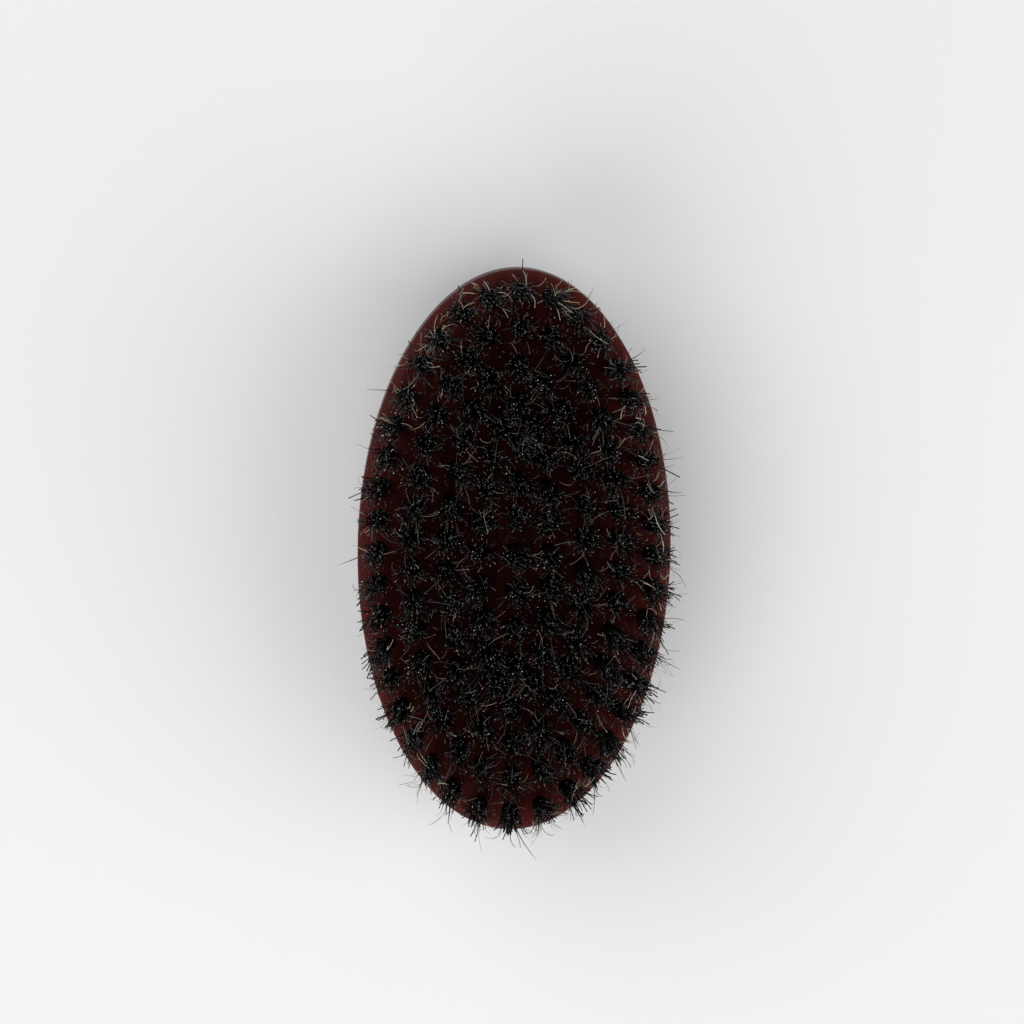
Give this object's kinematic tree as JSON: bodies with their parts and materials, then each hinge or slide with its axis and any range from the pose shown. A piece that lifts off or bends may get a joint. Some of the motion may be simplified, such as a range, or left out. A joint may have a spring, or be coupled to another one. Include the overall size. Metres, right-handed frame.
{
  "type": "beard brush",
  "caption": "Palm-held oval beard brush: crowned lacquered hardwood block with tufts of dark boar bristle set in oval rows, each held in its hole by a flat wire anchor.",
  "frame": {"origin": "centre of the flat on the crowned back, which the brush stands on", "axes": "+Z from the back towards the bristle tips, +Y along the long axis of the oval, +X across it"},
  "size_m": [0.06, 0.108, 0.036],
  "materials": {
    "lacquered_wood": "mahogany-red stained beech under a clear semi-gloss lacquer",
    "boar_bristle": "natural black boar bristle, glossy shafts, some tips worn to straw brown",
    "anchor_wire": "bright flat wire"
  },
  "bodies": {
    "root": {"anchors_centre_row": "anchor_wire", "anchors_row1": "anchor_wire", "anchors_row2": "anchor_wire", "anchors_row3": "anchor_wire", "anchors_row4": "anchor_wire", "tufts_centre_row": "boar_bristle", "tufts_row1_sector1": "boar_bristle", "tufts_row1_sector2": "boar_bristle", "tufts_row1_sector3": "boar_bristle", "tufts_row1_sector4": "boar_bristle", "tufts_row1_sector5": "boar_bristle", "tufts_row1_sector6": "boar_bristle", "tufts_row1_sector7": "boar_bristle", "tufts_row1_sector8": "boar_bristle", "tufts_row2_sector1": "boar_bristle", "tufts_row2_sector2": "boar_bristle", "tufts_row2_sector3": "boar_bristle", "tufts_row2_sector4": "boar_bristle", "tufts_row2_sector5": "boar_bristle", "tufts_row2_sector6": "boar_bristle", "tufts_row2_sector7": "boar_bristle", "tufts_row2_sector8": "boar_bristle", "tufts_row3_sector1": "boar_bristle", "tufts_row3_sector2": "boar_bristle", "tufts_row3_sector3": "boar_bristle", "tufts_row3_sector4": "boar_bristle", "tufts_row3_sector5": "boar_bristle", "tufts_row3_sector6": "boar_bristle", "tufts_row3_sector7": "boar_bristle", "tufts_row3_sector8": "boar_bristle", "tufts_row4_sector1": "boar_bristle", "tufts_row4_sector2": "boar_bristle", "tufts_row4_sector3": "boar_bristle", "tufts_row4_sector4": "boar_bristle", "wood_block": "lacquered_wood"}
  },
  "joints": []
}
